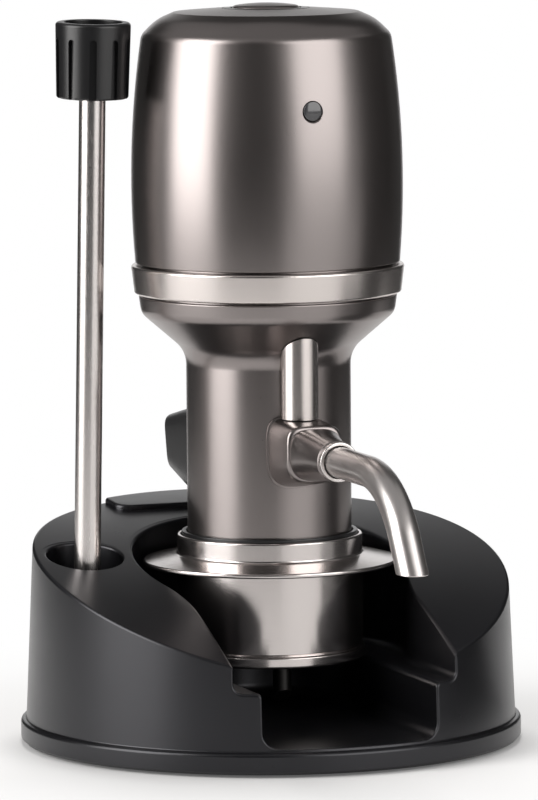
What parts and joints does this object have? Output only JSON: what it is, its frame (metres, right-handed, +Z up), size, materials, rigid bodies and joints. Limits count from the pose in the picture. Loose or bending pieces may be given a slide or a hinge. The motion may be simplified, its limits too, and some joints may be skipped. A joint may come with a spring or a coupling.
{
  "type": "electric wine aerator",
  "caption": "Barrel-shaped electric wine aerator on a neck with a bent spout, seated in a drip cup in a sloped round stand; a capped suction tube stands beside it.",
  "frame": {"origin": "middle of the stand's base, on the table", "axes": "+Z up along the axis of the stand, cup and aerator; the spout points along -Y; the suction tube stands on the -X side"},
  "size_m": [0.135, 0.1784, 0.1985],
  "materials": {
    "gunmetal": "satin warm gunmetal",
    "satin_nickel": "satin nickel",
    "brushed_steel": "bright satin stainless steel",
    "dark_metal": "dark polished",
    "black_plastic": "black, lightly polished",
    "black_rubber": "matt black",
    "clear_silicone": "milky",
    "grey_plastic": "matt grey",
    "lens_grey": "smoked, glossy",
    "board_green": "green solder mask",
    "battery_wrap": "blue shrink wrap, bare",
    "bare_steel": "plain steel"
  },
  "bodies": {
    "stand": {"stand_body": "black_plastic", "stand_bottom_cover": "black_plastic", "foot_pad": "black_rubber", "stand_screw_1": "bare_steel", "stand_screw_2": "bare_steel", "stand_screw_3": "bare_steel", "stand_screw_4": "bare_steel"},
    "drip_cup": {"drip_cup": "brushed_steel", "cup_insert": "black_plastic"},
    "aerator": {"neck_housing": "gunmetal", "trim_band": "satin_nickel", "head_shell": "gunmetal", "button_ring": "dark_metal", "led_lens": "lens_grey", "status_led": "lens_grey", "control_board": "board_green", "switch_board": "board_green", "tact_switch": "grey_plastic", "button_spring": "bare_steel", "inner_frame": "grey_plastic", "battery_cell": "battery_wrap", "motor": "bare_steel", "pump_cover": "grey_plastic", "pump_body": "grey_plastic", "idler_pin": "bare_steel", "pump_screw_1": "bare_steel", "pump_screw_2": "bare_steel", "pump_screw_3": "bare_steel", "outlet_seal": "clear_silicone", "inlet_spigot": "grey_plastic", "bottle_gasket": "clear_silicone", "bottle_guide": "black_rubber", "charge_port": "bare_steel", "charge_board": "board_green", "riser_pipe": "satin_nickel", "spout_boss": "gunmetal", "spout_nut": "brushed_steel", "spout_tube": "brushed_steel", "lever_bracket": "black_plastic", "lever_pin": "bare_steel", "lever_spring": "bare_steel"},
    "power_button": {"power_button": "gunmetal"},
    "lock_lever": {"lock_lever": "black_plastic"},
    "port_flap": {"port_flap": "black_rubber"},
    "drive_gear": {"drive_gear": "bare_steel"},
    "idler_gear": {"idler_gear": "bare_steel"},
    "suction_tube": {"suction_tube": "brushed_steel"},
    "connector_cap": {"connector_cap": "black_plastic", "cap_seal": "clear_silicone"}
  },
  "joints": [
    {"name": "cup_lift", "type": "slide", "parent": "stand", "child": "drip_cup", "axis": [0, 0, 1], "range_m": [0, 0.045]},
    {"name": "aerator_lift", "type": "slide", "parent": "drip_cup", "child": "aerator", "axis": [0, 0, 1], "range_m": [0, 0.06]},
    {"name": "suction_tube_lift", "type": "slide", "parent": "stand", "child": "suction_tube", "axis": [0.0099, -0.0354, 0.9993], "range_m": [0, 0.045]},
    {"name": "connector_cap_turn", "type": "hinge", "parent": "suction_tube", "child": "connector_cap", "pos_m": [-0.04968, 0.00849, 0.0165], "axis": [0.0099, -0.0354, 0.9993], "continuous": true},
    {"name": "power_button_press", "type": "slide", "parent": "aerator", "child": "power_button", "axis": [0, 0, -1], "range_m": [0, 0.001], "stiffness_N_per_m": 1200, "springref_m": -0.0006, "deforming": ["button_spring"]},
    {"name": "lock_lever_lift", "type": "hinge", "parent": "aerator", "child": "lock_lever", "pos_m": [0, 0.0285, 0.079], "axis": [1, 0, 0], "range_deg": [0, 12], "stiffness_Nm_per_rad": 0.2, "springref_deg": -8.59, "deforming": ["lever_spring"]},
    {"name": "port_flap_swing", "type": "hinge", "parent": "aerator", "child": "port_flap", "pos_m": [0, 0.03535, 0.147], "axis": [-1, 0, 0], "range_deg": [0, 90]},
    {"name": "drive_gear_spin", "type": "hinge", "parent": "aerator", "child": "drive_gear", "pos_m": [-0.005, -0.003, 0.1003], "axis": [0, 0, 1], "continuous": true},
    {"name": "idler_gear_spin", "type": "hinge", "parent": "aerator", "child": "idler_gear", "pos_m": [0.005, -0.003, 0.1003], "axis": [0, 0, 1], "continuous": true}
  ],
  "couplings": [
    {"joint": "idler_gear_spin", "follows": "drive_gear_spin", "ratio": -1}
  ]
}
